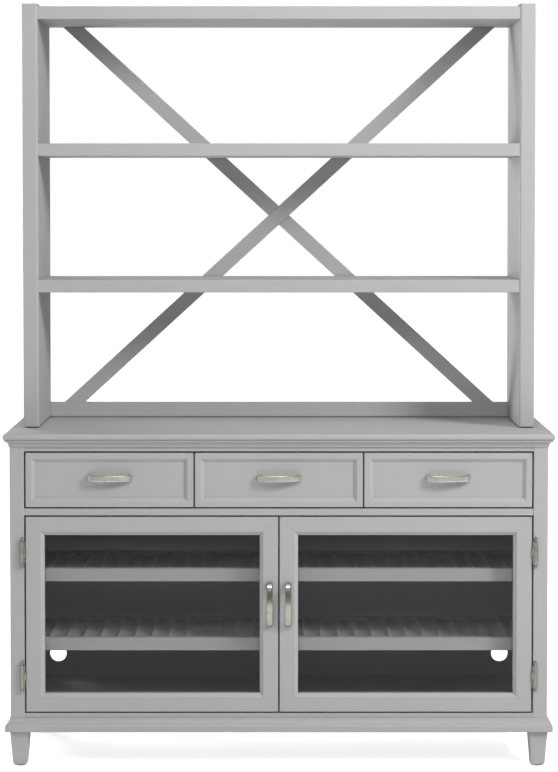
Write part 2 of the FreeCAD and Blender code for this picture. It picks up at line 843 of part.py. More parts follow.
def main():
    os.makedirs("parts", exist_ok=True)

    # Case frame: rails first, so that every mortise, groove and housing is cut by its own tenon.
    front_top_rail = tenoned_rail(rail_front, rail_back, top_rail_bottom, slab_under)
    front_mid_rail = tenoned_rail(rail_front, rail_back, mid_rail_bottom, mid_rail_top)
    front_bottom_rail = tenoned_rail(rail_front, rail_back, base_height, bottom_rail_top)
    top_back_rail = tenoned_rail(panel_inner_y - rail_thickness, panel_inner_y,
                                 slab_under - back_rail_height, slab_under)
    side_panel = make_side_panel()
    side_bottom = side_rail(base_height, base_height + side_bottom_rail_height)
    side_top = side_rail(slab_under - side_top_rail_height, slab_under)
    back_panel = make_back_panel()
    front_post = make_post(front_y).cut([front_top_rail, front_mid_rail, front_bottom_rail,
                                         side_panel, side_bottom, side_top])
    back_post = make_post(back_post_front).cut([top_back_rail, back_panel, side_panel,
                                                side_bottom, side_top])
    side_rails = [side_bottom.cut(side_panel), side_top.cut(side_panel)]

    partition_front = door_back + stop_play
    floor_low = bottom_rail_top - floor_thickness
    cupboard_floor = box(-opening_half, opening_half, rail_back, panel_inner_y, floor_low, bottom_rail_top)
    drawer_deck = box(-opening_half, opening_half, rail_back, panel_inner_y, mid_rail_bottom, mid_rail_top)
    partition = box(-partition_thickness / 2, partition_thickness / 2, partition_front, panel_inner_y,
                    bottom_rail_top, mid_rail_bottom)

    hole_radius = shelf_pin_radius + shelf_pin_play
    outer_holes, inner_holes = shelf_pins(hole_radius)
    outer_pins, inner_pins = shelf_pins(shelf_pin_radius)
    side_panel = side_panel.cut(outer_holes)
    partition = partition.cut(inner_holes + [mirrored(hole) for hole in inner_holes])
    pins = outer_pins + inner_pins

    export("top_panel", [make_top_panel()])
    export("top_cove_moulding", mitred_run(cove_profile, cove_reach))
    export("front_left_post", [front_post])
    export("front_right_post", [mirrored(front_post)])
    export("back_posts", both(back_post))
    export("front_top_rail", [front_top_rail])
    export("front_mid_rail", [front_mid_rail])
    export("front_bottom_rail", [front_bottom_rail])
    export("top_back_rail", [top_back_rail])
    export("left_side_panel", [side_panel])
    export("right_side_panel", [mirrored(side_panel)])
    export("side_rails", side_rails + [mirrored(rail) for rail in side_rails])
    export("back_panel", [back_panel])
    export("cupboard_floor", [cupboard_floor])
    export("drawer_deck", [drawer_deck])
    export("centre_partition", [partition])
    export("drawer_dividers", both(make_divider([top_back_rail, front_top_rail])))
    export("shelf_pins", pins + [mirrored(pin) for pin in pins])

    # Base
    export("base_moulding", mitred_run(base_profile, base_moulding_reach))
    glides = []
    for name, at_front in (("front_feet", True), ("back_feet", False)):
        foot, glide = make_foot(foot_centre_y(at_front))
        export(name, both(foot))
        glides += both(glide)
    export("foot_glides", glides)

    # Bottle shelves
    for name, height in (("upper", upper_shelf_height), ("lower", lower_shelf_height)):
        shelf = make_bottle_shelf(height)
        export("left_" + name + "_bottle_shelf", shelf)
        export("right_" + name + "_bottle_shelf", [mirrored(piece) for piece in shelf])

    # Drawers
    pull = make_pull()
    drawer_pull_height = (drawer_bottom + drawer_top) / 2 + drawer_pull_rise
    divider_half = divider_thickness / 2
    bays = (("left_drawer", -1, -opening_half, -divider_x - divider_half),
            ("centre_drawer", 0, -divider_x + divider_half, divider_x - divider_half),
            ("right_drawer", 1, divider_x + divider_half, opening_half))
    runners = []
    for name, place, bay_left, bay_right in bays:
        middle = place * (drawer_width + reveal)
        export(name + "_front", make_drawer_front(middle - drawer_width / 2, middle + drawer_width / 2))
        export(name + "_box", make_drawer_box(bay_left, bay_right))
        export(name + "_pull", [moved(pull, middle, leaf_front + drawer_panel_depth, drawer_pull_height)])
        runners += make_runners(bay_left, bay_right)
    export("drawer_runners", runners)

    # Doors
    door_x0 = -opening_half + reveal
    door_x1 = door_x0 + door_width
    frame = mitred_frame(door_x0, door_x1, door_bottom, door_top, leaf_front, door_member, door_section)
    beads = mitred_frame(door_x0, door_x1, door_bottom, door_top, leaf_front, door_member, bead_section)
    glass = make_glass(door_x0, door_x1)
    door_pull_height = (door_bottom + door_top) / 2 + door_pull_rise
    door_pull = moved(upright(pull), door_x1 - door_pull_inset, leaf_front, door_pull_height)
    levels = hinge_levels()
    door_leaves = [make_door_leaf(level) for level in levels]
    frame_leaves = [make_frame_leaf(level) for level in levels]
    hinge_pins = [make_hinge_pin(level) for level in levels]
    door_pieces = (("frame", frame), ("glass", [glass]), ("glass_beads", beads), ("pull", [door_pull]),
                   ("hinge_leaves", door_leaves))
    for name, solids in door_pieces:
        export("left_door_" + name, solids)
        export("right_door_" + name, [mirrored(solid) for solid in solids])
    export("hinge_frame_leaves", frame_leaves + [mirrored(leaf) for leaf in frame_leaves])
    export("hinge_pins", hinge_pins + [mirrored(pin) for pin in hinge_pins])

    # Hutch
    hutch_top_high = hutch_base + hutch_height - hutch_top_drop
    lower = hutch_base + hutch_lower_shelf_height
    upper = hutch_base + hutch_upper_shelf_height
    hutch_top = make_hutch_board(hutch_top_high - hutch_board_thickness, hutch_top_high)
    lower_shelf = make_hutch_board(lower, lower + hutch_board_thickness)
    upper_shelf = make_hutch_board(upper, upper + hutch_board_thickness)
    top_bar = make_back_bar(hutch_top_high - hutch_board_thickness, hutch_top_high)
    bottom_bar = make_back_bar(hutch_base, hutch_base + back_bar_height)
    hutch_side = make_hutch_side([hutch_top, lower_shelf, upper_shelf], [top_bar, bottom_bar])
    front_brace, rear_brace = make_braces()
    export("hutch_left_side", [hutch_side])
    export("hutch_right_side", [mirrored(hutch_side)])
    export("hutch_top", [hutch_top])
    export("hutch_upper_shelf", [upper_shelf])
    export("hutch_lower_shelf", [lower_shelf])
    export("hutch_top_back_rail", [top_bar.cut([front_brace, rear_brace])])
    export("hutch_bottom_back_rail", [bottom_bar.cut([front_brace, rear_brace])])
    export("front_cross_brace", [front_brace])
    export("rear_cross_brace", [rear_brace])
    pads = make_pads()
    export("hutch_pads", pads + [mirrored(pad) for pad in pads])
    export("joining_plates", both(make_joining_plate()))


main()
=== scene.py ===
import math

import bpy
import numpy as np
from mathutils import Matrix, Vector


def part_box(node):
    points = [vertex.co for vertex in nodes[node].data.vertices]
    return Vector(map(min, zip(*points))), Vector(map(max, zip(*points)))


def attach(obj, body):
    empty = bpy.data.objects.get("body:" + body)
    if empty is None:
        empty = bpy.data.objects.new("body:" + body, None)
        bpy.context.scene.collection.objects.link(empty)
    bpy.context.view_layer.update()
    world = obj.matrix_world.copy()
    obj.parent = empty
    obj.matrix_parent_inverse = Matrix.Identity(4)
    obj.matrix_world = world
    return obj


# Sideboard with hutch: finishes, small fittings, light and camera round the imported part, in metres.
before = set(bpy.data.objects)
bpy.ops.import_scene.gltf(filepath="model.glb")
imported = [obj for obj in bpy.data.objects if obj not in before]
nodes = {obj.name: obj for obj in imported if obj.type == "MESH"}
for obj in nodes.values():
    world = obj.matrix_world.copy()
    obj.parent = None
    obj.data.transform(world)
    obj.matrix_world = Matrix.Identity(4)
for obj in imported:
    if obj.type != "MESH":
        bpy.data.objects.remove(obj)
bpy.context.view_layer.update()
print("frame loaded,", len(nodes), "nodes")


def linear(hexColour):
    # sRGB hex to linear RGBA
    share = np.array([int(hexColour[i:i + 2], 16) for i in (1, 3, 5)]) / 255
    low = share / 12.92
    high = ((share + 0.055) / 1.055) ** 2.4
    return (*np.where(share <= 0.04045, low, high).tolist(), 1.0)


def addNode(tree, kind, inputs=None, **settings):
    # inputs: socket name or number -> a value, or an output socket to link
    node = tree.nodes.new(kind)
    for key, value in settings.items():
        setattr(node, key, value)
    for key, value in (inputs or {}).items():
        if isinstance(value, bpy.types.NodeSocket):
            tree.links.new(value, node.inputs[key])
        else:
            node.inputs[key].default_value = value
    return node


def newMaterial(name):
    # an empty tree with one Principled shader on its output, and the Object coordinates
    material = bpy.data.materials.new(name)
    material.use_nodes = True
    tree = material.node_tree
    tree.nodes.clear()
    shader = addNode(tree, "ShaderNodeBsdfPrincipled")
    addNode(tree, "ShaderNodeOutputMaterial", {"Surface": shader.outputs["BSDF"]})
    place = addNode(tree, "ShaderNodeTexCoord").outputs["Object"]
    return material, tree, shader, place


def dress(material, *names):
    # puts one material on CAD nodes
    for name in names:
        nodes[name].data.materials.clear()
        nodes[name].data.materials.append(material)


# Turns that lay a grain along each axis
alongX = (0.0, 0.0, 0.0)
alongY = (0.0, 0.0, math.pi / 2)
alongZ = (0.0, math.pi / 2, 0.0)
grainSpan = (0.3, 0.7)  # where most of the grain noise lies

# Satin paint on wood: an even grey film with a trace of grain under it, a fine roller stipple,
# softened arrises with a painted highlight, and a little painted shade where boards meet.
paintLook = {
    # The arris colour is a painted highlight; the corner colour is painted shade where boards meet.
    "colour": "#a9a9a9", "cloudColour": "#a5a5a6", "arrisHighlightColour": "#b2b2b2",
    "cornerShadeColour": "#606062", "seamColour": "#858586",
    "roughness": (0.42, 0.52), "sheenSpan": (0.25, 0.75), "ior": 1.48, "cloudMm": 260.0,
    "grainMm": (130.0, 4.0, 4.0),  # along and across; finer in real wood, drawn coarse enough to show
    "grainShade": (0.98, 1.015), "ridge": 0.1, "ridgeMm": 0.5,
    "stippleMm": 2.5, "peel": 0.03, "peelMm": 0.3,
    "arrisMm": 1.4, "arrisBend": 0.75, "arrisHighlightDepth": 0.5,
    "cornerMm": 14.0, "cornerOpen": (0.8, 0.15), "cornerShadeDepth": 0.55,
    "seamMm": 1.2, "seamDepth": 0.6,  # a hairline, drawn wide enough to show
}


def grainField(tree, place, turn, sizeMm):
    # noise stretched along the grain
    spread = addNode(tree, "ShaderNodeMapping",
                     {"Vector": place, "Rotation": turn, "Scale": tuple(v / 1000 for v in sizeMm)},
                     vector_type="TEXTURE")
    return addNode(tree, "ShaderNodeTexNoise",
                   {"Vector": spread.outputs[0], "Scale": 1.0, "Detail": 3.0}).outputs["Fac"]


def mitredGrain(tree, place, look, frameBox, memberMm, grain):
    # on a mitred frame the stiles get upright grain, and a seam shows on the members' diagonals
    low, high = frameBox
    middle, half = (low + high) / 2, (high - low) / 2
    shifted = addNode(tree, "ShaderNodeVectorMath", {0: place, 1: middle}, operation="SUBTRACT")
    out = addNode(tree, "ShaderNodeVectorMath", {0: shifted.outputs[0]}, operation="ABSOLUTE")
    inwards = addNode(tree, "ShaderNodeVectorMath", {0: half, 1: out.outputs[0]}, operation="SUBTRACT")
    parts = addNode(tree, "ShaderNodeSeparateXYZ", {0: inwards.outputs[0]})
    across, upward = parts.outputs["X"], parts.outputs["Z"]
    gap = addNode(tree, "ShaderNodeMath", {0: across, 1: upward}, operation="SUBTRACT").outputs[0]
    stile = addNode(tree, "ShaderNodeMath", {0: gap, 1: 0.0}, operation="LESS_THAN").outputs[0]
    upright = grainField(tree, place, alongZ, look["grainMm"])
    grain = addNode(tree, "ShaderNodeMix", {0: stile, 2: grain, 3: upright}).outputs[0]
    off = addNode(tree, "ShaderNodeMath", {0: gap}, operation="ABSOLUTE").outputs[0]
    line = addNode(tree, "ShaderNodeMapRange",
                   {"Value": off, "From Max": look["seamMm"] / 1000,
                    "To Min": look["seamDepth"], "To Max": 0.0}).outputs[0]
    edge = addNode(tree, "ShaderNodeMath", {0: across, 1: upward}, operation="MINIMUM").outputs[0]
    onMember = addNode(tree, "ShaderNodeMath", {0: edge, 1: memberMm / 1000},
                       operation="LESS_THAN").outputs[0]
    seam = addNode(tree, "ShaderNodeMath", {0: line, 1: onMember}, operation="MULTIPLY").outputs[0]
    return grain, seam


def satinPaint(name, turn=alongX, look=paintLook, frameBox=None, memberMm=0.0, boardShadeFrom=None):
    # frameBox and memberMm: a mitred frame and the width of its members; the last argument: a Y behind
    # which the colour darkens as painted shade
    material, tree, shader, place = newMaterial(name)
    grain = grainField(tree, place, turn, look["grainMm"])
    seam = None
    if frameBox:
        grain, seam = mitredGrain(tree, place, look, frameBox, memberMm, grain)
    # painted shade: behind the given Y the colour darkens
    boardShade = None
    if boardShadeFrom is not None:
        depth = addNode(tree, "ShaderNodeSeparateXYZ", {0: place}).outputs["Y"]
        boardShade = addNode(tree, "ShaderNodeMath", {0: depth, 1: boardShadeFrom}, operation="GREATER_THAN").outputs[0]
    cloud = addNode(tree, "ShaderNodeTexNoise",
                    {"Vector": place, "Scale": 1000 / look["cloudMm"], "Detail": 2.0}).outputs["Fac"]
    stipple = addNode(tree, "ShaderNodeTexNoise",
                      {"Vector": place, "Scale": 1000 / look["stippleMm"], "Detail": 1.0}).outputs["Fac"]
    rounded = addNode(tree, "ShaderNodeBevel", {"Radius": look["arrisMm"] / 1000}, samples=4).outputs[0]
    flat = addNode(tree, "ShaderNodeNewGeometry").outputs["True Normal"]
    bend = addNode(tree, "ShaderNodeVectorMath", {0: rounded, 1: flat},
                   operation="DOT_PRODUCT").outputs["Value"]
    # painted highlight: the colour lightens where the softened arrises bend
    arrisHighlight = addNode(tree, "ShaderNodeMapRange",
                    {"Value": bend, "From Min": 1.0, "From Max": look["arrisBend"],
                     "To Min": 0.0, "To Max": look["arrisHighlightDepth"]}).outputs[0]
    # painted shade: the colour darkens in corners and where boards meet
    openness = addNode(tree, "ShaderNodeAmbientOcclusion",
                       {"Distance": look["cornerMm"] / 1000}, samples=6).outputs["AO"]
    corner = addNode(tree, "ShaderNodeMapRange",
                     {"Value": openness, "From Min": look["cornerOpen"][0], "From Max": look["cornerOpen"][1],
                      "To Min": 0.0, "To Max": look["cornerShadeDepth"]}).outputs[0]
    colour = addNode(tree, "ShaderNodeMix",
                     {0: cloud, 6: linear(look["colour"]), 7: linear(look["cloudColour"])},
                     data_type="RGBA").outputs[2]
    shade = addNode(tree, "ShaderNodeMapRange",
                    {"Value": grain, "From Min": grainSpan[0], "From Max": grainSpan[1],
                     "To Min": look["grainShade"][0], "To Max": look["grainShade"][1]}).outputs[0]
    colour = addNode(tree, "ShaderNodeVectorMath", {0: colour, "Scale": shade}, operation="SCALE").outputs[0]
    # painted shade behind a given depth, a painted highlight on arrises, painted shade in corners, then the
    # seams
    coats = ((boardShade, "boardShadeColour"), (arrisHighlight, "arrisHighlightColour"), (corner, "cornerShadeColour"), (seam, "seamColour"))
    for share, tone in coats:
        if share:
            colour = addNode(tree, "ShaderNodeMix", {0: share, 6: colour, 7: linear(look[tone])},
                             data_type="RGBA").outputs[2]
    rough = addNode(tree, "ShaderNodeMapRange",
                    {"Value": grain, "From Min": look["sheenSpan"][0], "From Max": look["sheenSpan"][1],
                     "To Min": look["roughness"][0], "To Max": look["roughness"][1]}).outputs[0]
    ridges = addNode(tree, "ShaderNodeBump",
                     {"Height": grain, "Strength": look["ridge"], "Distance": look["ridgeMm"] / 1000,
                      "Normal": rounded}).outputs[0]
    peel = addNode(tree, "ShaderNodeBump",
                   {"Height": stipple, "Strength": look["peel"], "Distance": look["peelMm"] / 1000,
                    "Normal": ridges}).outputs[0]
    tree.links.new(colour, shader.inputs["Base Color"])
    tree.links.new(rough, shader.inputs["Roughness"])
    tree.links.new(peel, shader.inputs["Normal"])
    shader.inputs["IOR"].default_value = look["ior"]
    return material


dress(satinPaint("satinPaintAcross"), "top_panel", "top_cove_moulding", "front_top_rail", "front_mid_rail",
      "front_bottom_rail", "top_back_rail", "base_moulding", "hutch_top", "hutch_upper_shelf",
      "hutch_lower_shelf", "hutch_top_back_rail", "hutch_bottom_back_rail", "left_door_glass_beads",
      "right_door_glass_beads")
dress(satinPaint("satinPaintUpright", alongZ), "front_left_post", "front_right_post", "back_posts",
      "left_side_panel", "right_side_panel", "front_feet", "back_feet", "hutch_left_side", "hutch_right_side")
dress(satinPaint("satinPaintDeep", alongY), "side_rails")

# The braces' grain runs along their slope
braceLow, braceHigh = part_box("front_cross_brace")
slope = math.atan2(braceHigh.z - braceLow.z, braceHigh.x - braceLow.x)
dress(satinPaint("satinPaintRising", (0.0, -slope, 0.0)), "front_cross_brace")
dress(satinPaint("satinPaintFalling", (0.0, slope, 0.0)), "rear_cross_brace")

memberMm = {"door": 51.0, "drawer": 25.0}  # width of the mitred lengths
for side in ("left", "right"):
    node = side + "_door_frame"
    dress(satinPaint(side + "DoorSatinPaint", frameBox=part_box(node), memberMm=memberMm["door"]), node)
for side in ("left", "centre", "right"):
    node = side + "_drawer_front"
    dress(satinPaint(side + "DrawerSatinPaint", frameBox=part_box(node), memberMm=memberMm["drawer"]), node)

# Flat paint inside the cupboard, darker than outside as painted shade: almost no shine through the glass.
insideLook = dict(paintLook, colour="#949495", cloudColour="#8f8f90", arrisHighlightColour="#a0a0a1",
                  cornerShadeColour="#5a5a5b", roughness=(0.6, 0.75), peel=0.012)
dress(satinPaint("flatPaintInside", look=insideLook), "cupboard_floor", "drawer_deck", "centre_partition",
      "drawer_dividers", "back_panel")

# Bottle shelves: painted shade makes the front rails darker than the case and the fluted boards behind
# them darker still, with strong shade in the troughs, so the flutes stay dark and the crests show.
shelfLook = dict(paintLook, colour="#9d9d9d", cloudColour="#999999", arrisHighlightColour="#b0b0b0",
                 cornerShadeColour="#2c2c2e", boardShadeColour="#8c8c8d", railMm=20.0, cornerMm=30.0, cornerShadeDepth=0.85,
                 peel=0.02)
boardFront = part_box("left_upper_bottle_shelf")[0].y + shelfLook["railMm"] / 1000
dress(satinPaint("satinPaintShelves", alongY, shelfLook, boardShadeFrom=boardFront), "left_upper_bottle_shelf",
      "left_lower_bottle_shelf", "right_upper_bottle_shelf", "right_lower_bottle_shelf")
print("paint done")

# Satin nickel plate: cast bars brushed along their length, a warm grey with soft streaked highlights.
nickelLook = {"colour": "#dedbd0", "dull": "#cdcabe", "roughness": (0.32, 0.42), "streakMm": (40.0, 0.9, 0.9)}
# The door pulls: smoother, and a little darker as painted shade.
doorPullLook = dict(nickelLook, colour="#bfbcb1", dull="#aeaba0", roughness=(0.2, 0.28))
# Aged nickel plate on the hinges: greyer and duller, tarnished in patches.
hingeLook = {"colour": "#b2b2a9", "dull": "#94948c", "roughness": (0.36, 0.52), "streakMm": (12.0, 1.2, 1.2)}
# Zinc-plated steel: cool grey with a cloudy bloom.
zincLook = {"colour": "#b4b8bb", "dull": "#8f9497", "roughness": (0.35, 0.55), "streakMm": (5.0, 3.0, 3.0)}
tarnish = {"patchMm": 11.0, "range": (0.4, 0.75), "ridge": 0.04, "ridgeMm": 0.2}  # on all four


def platedMetal(name, look, turn):
    material, tree, shader, place = newMaterial(name)
    streak = grainField(tree, place, turn, look["streakMm"])
    patch = addNode(tree, "ShaderNodeTexNoise",
                    {"Vector": place, "Scale": 1000 / tarnish["patchMm"], "Detail": 2.0}).outputs["Fac"]
    worn = addNode(tree, "ShaderNodeMapRange",
                   {"Value": patch, "From Min": tarnish["range"][0],
                    "From Max": tarnish["range"][1]}).outputs[0]
    colour = addNode(tree, "ShaderNodeMix", {0: worn, 6: linear(look["colour"]), 7: linear(look["dull"])},
                     data_type="RGBA").outputs[2]
    rough = addNode(tree, "ShaderNodeMapRange",
                    {"Value": streak, "From Min": grainSpan[0], "From Max": grainSpan[1],
                     "To Min": look["roughness"][0], "To Max": look["roughness"][1]}).outputs[0]
    ridges = addNode(tree, "ShaderNodeBump",
                     {"Height": streak, "Strength": tarnish["ridge"],
                      "Distance": tarnish["ridgeMm"] / 1000}).outputs[0]
    tree.links.new(colour, shader.inputs["Base Color"])
    tree.links.new(rough, shader.inputs["Roughness"])
    tree.links.new(ridges, shader.inputs["Normal"])
    shader.inputs["Metallic"].default_value = 1.0
    return material


hingeNickel = platedMetal("agedNickel", hingeLook, alongZ)
zincSteel = platedMetal("zincPlatedSteel", zincLook, alongZ)
dress(platedMetal("satinNickelAcross", nickelLook, alongX),
      "left_drawer_pull", "centre_drawer_pull", "right_drawer_pull", "shelf_pins")
dress(platedMetal("satinNickelUpright", doorPullLook, alongZ), "left_door_pull", "right_door_pull")
dress(hingeNickel, "left_door_hinge_leaves", "right_door_hinge_leaves", "hinge_frame_leaves", "hinge_pins")
dress(zincSteel, "joining_plates")

# Lacquered beech: pale pinkish brown with broad soft bands and short dark flecks along the grain.
beechLook = {"pale": "#d9b98c", "brown": "#c39a68", "fleck": "#a67c4f", "roughness": (0.38, 0.5),
             "bandMm": (300.0, 14.0, 14.0), "fleckMm": (9.0, 0.9, 1.2), "fleckRange": (0.58, 0.7),
             "fleckDepth": 0.55, "ridge": 0.15, "ridgeMm": 0.5}


def lacqueredBeech(name, turn):
    material, tree, shader, place = newMaterial(name)
    bands = grainField(tree, place, turn, beechLook["bandMm"])
    flecks = grainField(tree, place, turn, beechLook["fleckMm"])
    mark = addNode(tree, "ShaderNodeMapRange",
                   {"Value": flecks, "From Min": beechLook["fleckRange"][0],
                    "From Max": beechLook["fleckRange"][1], "To Max": beechLook["fleckDepth"]}).outputs[0]
    wood = addNode(tree, "ShaderNodeMix",
                   {0: bands, 6: linear(beechLook["pale"]), 7: linear(beechLook["brown"])},
                   data_type="RGBA").outputs[2]
    colour = addNode(tree, "ShaderNodeMix", {0: mark, 6: wood, 7: linear(beechLook["fleck"])},
                     data_type="RGBA").outputs[2]
    rough = addNode(tree, "ShaderNodeMapRange",
                    {"Value": bands, "From Min": grainSpan[0], "From Max": grainSpan[1],
                     "To Min": beechLook["roughness"][0], "To Max": beechLook["roughness"][1]}).outputs[0]
    ridges = addNode(tree, "ShaderNodeBump",
                     {"Height": bands, "Strength": beechLook["ridge"],
                      "Distance": beechLook["ridgeMm"] / 1000}).outputs[0]
    tree.links.new(colour, shader.inputs["Base Color"])
    tree.links.new(rough, shader.inputs["Roughness"])
    tree.links.new(ridges, shader.inputs["Normal"])
    return material


dress(lacqueredBeech("lacqueredBeech", alongY), "left_drawer_box", "centre_drawer_box", "right_drawer_box",
      "drawer_runners")

# Float glass: clear and neutral, with a weak mirror that grows at a slant and a faint smear.
# Transparent and gloss by Fresnel, so that light reaches the shelves behind; only the face turned to
# the viewer mirrors, as straight rays leaving the pane would count as trapped in it.
glassLook = {"tint": "#fbfbfb", "mirrorIor": 1.44, "smearMm": 60.0, "roughness": (0.0, 0.03)}


def floatGlass(name):
    material, tree, shader, place = newMaterial(name)
    smear = addNode(tree, "ShaderNodeTexNoise",
                    {"Vector": place, "Scale": 1000 / glassLook["smearMm"], "Detail": 3.0}).outputs["Fac"]
    rough = addNode(tree, "ShaderNodeMapRange", {"Value": smear, "To Min": glassLook["roughness"][0],
                                                 "To Max": glassLook["roughness"][1]}).outputs[0]
    clear = addNode(tree, "ShaderNodeBsdfTransparent", {"Color": linear(glassLook["tint"])})
    gloss = addNode(tree, "ShaderNodeBsdfGlossy", {"Roughness": rough})
    fresnel = addNode(tree, "ShaderNodeFresnel", {"IOR": glassLook["mirrorIor"]}).outputs[0]
    behind = addNode(tree, "ShaderNodeNewGeometry").outputs["Backfacing"]
    mirror = addNode(tree, "ShaderNodeMix", {0: behind, 2: fresnel, 3: 0.0}).outputs[0]
    both = addNode(tree, "ShaderNodeMixShader", {0: mirror, 1: clear.outputs[0], 2: gloss.outputs[0]})
    tree.nodes.remove(shader)
    tree.links.new(both.outputs[0], tree.nodes["Material Output"].inputs["Surface"])
    return material


dress(floatGlass("floatGlass"), "left_door_glass", "right_door_glass")

# Pressed felt is fibrous and dull, moulded nylon finely pitted with a low sheen.
feltLook = {"plain": "#2c2c2e", "speck": "#3a3a3c", "roughness": 0.95, "grainMm": 0.6,
            "pit": 0.4, "pitMm": 0.4}
nylonLook = dict(feltLook, plain="#1f1f20", speck="#29292a", roughness=0.5, grainMm=1.5)


def mattStuff(name, look):
    material, tree, shader, place = newMaterial(name)
    grain = addNode(tree, "ShaderNodeTexNoise",
                    {"Vector": place, "Scale": 1000 / look["grainMm"], "Detail": 4.0}).outputs["Fac"]
    colour = addNode(tree, "ShaderNodeMix", {0: grain, 6: linear(look["plain"]), 7: linear(look["speck"])},
                     data_type="RGBA").outputs[2]
    pits = addNode(tree, "ShaderNodeBump",
                   {"Height": grain, "Strength": look["pit"], "Distance": look["pitMm"] / 1000}).outputs[0]
    tree.links.new(colour, shader.inputs["Base Color"])
    tree.links.new(pits, shader.inputs["Normal"])
    shader.inputs["Roughness"].default_value = look["roughness"]
    return material


mouldedNylon = mattStuff("mouldedNylon", nylonLook)
dress(mattStuff("pressedFelt", feltLook), "hutch_pads")
dress(mouldedNylon, "foot_glides")
print("metal, wood and glass done")


def shellMesh(name, rings, material, body):
    # rings: (shells, rows, columns, 3). Rows go from the foot to the crown, columns go round and close,
    # and one many-sided face closes each end.
    shells, rows, columns = rings.shape[:3]
    row = np.arange(rows - 1)[:, None] * columns
    column = np.arange(columns)[None, :]
    after = (column + 1) % columns
    quads = np.stack([row + column, row + after, row + columns + after, row + columns + column], -1)
    quads = quads.reshape(-1, 4)
    foot = np.arange(columns)[::-1]
    crown = (rows - 1) * columns + np.arange(columns)
    faces = []
    for start in range(0, shells * rows * columns, rows * columns):
        faces += (quads + start).tolist() + [(foot + start).tolist(), (crown + start).tolist()]
    mesh = bpy.data.meshes.new(name)
    mesh.from_pydata(rings.reshape(-1, 3).tolist(), [], faces)
    mesh.materials.append(material)
    piece = bpy.data.objects.new(name, mesh)
    bpy.context.scene.collection.objects.link(piece)
    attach(piece, body)


def screwHeads(name, places, look, normal, material, body):
    # height over the face = rise * sqrt(1 - (dome r / R)^2), less a recess in the shape of a cross whose
    # walls slope; the first ring is sunk a little into the face, the second is the head's rim
    radius, rise = look["radiusMm"] / 1000, look["riseMm"] / 1000
    angle = np.linspace(0, 2 * math.pi, look["columns"], endpoint=False)
    share = np.concatenate([[1.0, 1.0], np.linspace(*look["ringShares"], look["rows"])])[:, None]
    across, upward = share * np.cos(angle), share * np.sin(angle)
    arm = np.minimum(np.abs(across), np.abs(upward))
    cross = np.clip((look["armShare"] - arm) / look["slopeShares"][0], 0, 1)
    cross = cross * np.clip((look["reachShare"] - share) / look["slopeShares"][1], 0, 1)
    height = rise * (np.sqrt(1 - (look["dome"] * share) ** 2) - look["recessShare"] * cross)
    height[0] = -look["sunkMm"] / 1000
    height[1] = look["rimShare"] * rise
    normal = np.array(normal, float)
    side = np.array([0.0, 0.0, 1.0])
    other = np.cross(normal, side)
    head = radius * (across[..., None] * side + upward[..., None] * other) + height[..., None] * normal
    shellMesh(name, np.array(places)[:, None, None, :] + head, material, body)


panHead = {"radiusMm": 4.2, "riseMm": 2.2, "sunkMm": 0.1, "rows": 9, "columns": 28,
           "ringShares": (0.97, 0.04), "dome": 0.92, "rimShare": 0.3,
           "armShare": 0.13, "reachShare": 0.62, "recessShare": 0.6, "slopeShares": (0.06, 0.08)}
panelHead = dict(panHead, radiusMm=3.4, riseMm=1.5, rows=7, columns=20)
leafHead = dict(panHead, radiusMm=2.9, riseMm=0.4, rows=7, columns=24)

# Three staggered screws in each hinge leaf: frame leaves lie on the posts, the others on the door edges
hingeScrews = {"leafMm": 1.4, "heightMm": 63.0, "stepMm": 21.0, "depthMm": (16.5, 9.0, 16.5)}
for side, sign in (("left", -1), ("right", 1)):
    leafLow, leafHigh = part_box(side + "_door_hinge_leaves")
    postLow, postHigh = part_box(f"front_{side}_post")
    doorLow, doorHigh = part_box(side + "_door_frame")
    reach = hingeScrews["heightMm"] / 2000
    spots = [(postLow.y + depth / 1000, middle + step * hingeScrews["stepMm"] / 1000)
             for middle in (leafLow.z + reach, leafHigh.z - reach)
             for step, depth in zip((-1, 0, 1), hingeScrews["depthMm"])]
    leaf = hingeScrews["leafMm"] / 1000
    postFace = (postHigh.x if sign < 0 else postLow.x) - sign * leaf
    doorFace = (doorLow.x if sign < 0 else doorHigh.x) + sign * leaf
    screwHeads(side + "_frame_leaf_screws", [(postFace, y, z) for y, z in spots], leafHead, (-sign, 0, 0),
               hingeNickel, "carcass")
    screwHeads(side + "_door_leaf_screws", [(doorFace, y, z) for y, z in spots], leafHead, (sign, 0, 0),
               hingeNickel, side + "_door")

# Screws that hold the pulls: inside the drawers, and on the backs of the doors
pullScrews = {"footMm": 10.0, "boxFrontMm": 14.0}
inset = pullScrews["footMm"] / 2000
for side in ("left", "centre", "right"):
    low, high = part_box(side + "_drawer_pull")
    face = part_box(side + "_drawer_box")[0].y + pullScrews["boxFrontMm"] / 1000
    places = [(x, face, (low.z + high.z) / 2) for x in (low.x + inset, high.x - inset)]
    screwHeads(side + "_drawer_pull_screws", places, panHead, (0, 1, 0),
               zincSteel, side + "_drawer")
for side in ("left", "right"):
    low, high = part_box(side + "_door_pull")
    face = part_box(side + "_door_frame")[1].y
    places = [((low.x + high.x) / 2, face, z) for z in (low.z + inset, high.z - inset)]
    screwHeads(side + "_door_pull_screws", places, panHead, (0, 1, 0),
               zincSteel, side + "_door")

# Screws in the joining plates and round the back panel
plateScrews = {"widthMm": 30.0, "offsetsMm": (-50.0, -22.0, 22.0, 50.0)}
low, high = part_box("joining_plates")
plateX = high.x - plateScrews["widthMm"] / 2000
places = [(sign * plateX, high.y, (low.z + high.z) / 2 + off / 1000)
          for sign in (-1, 1) for off in plateScrews["offsetsMm"]]
screwHeads("joining_plate_screws", places, panHead, (0, 1, 0), zincSteel, "carcass")

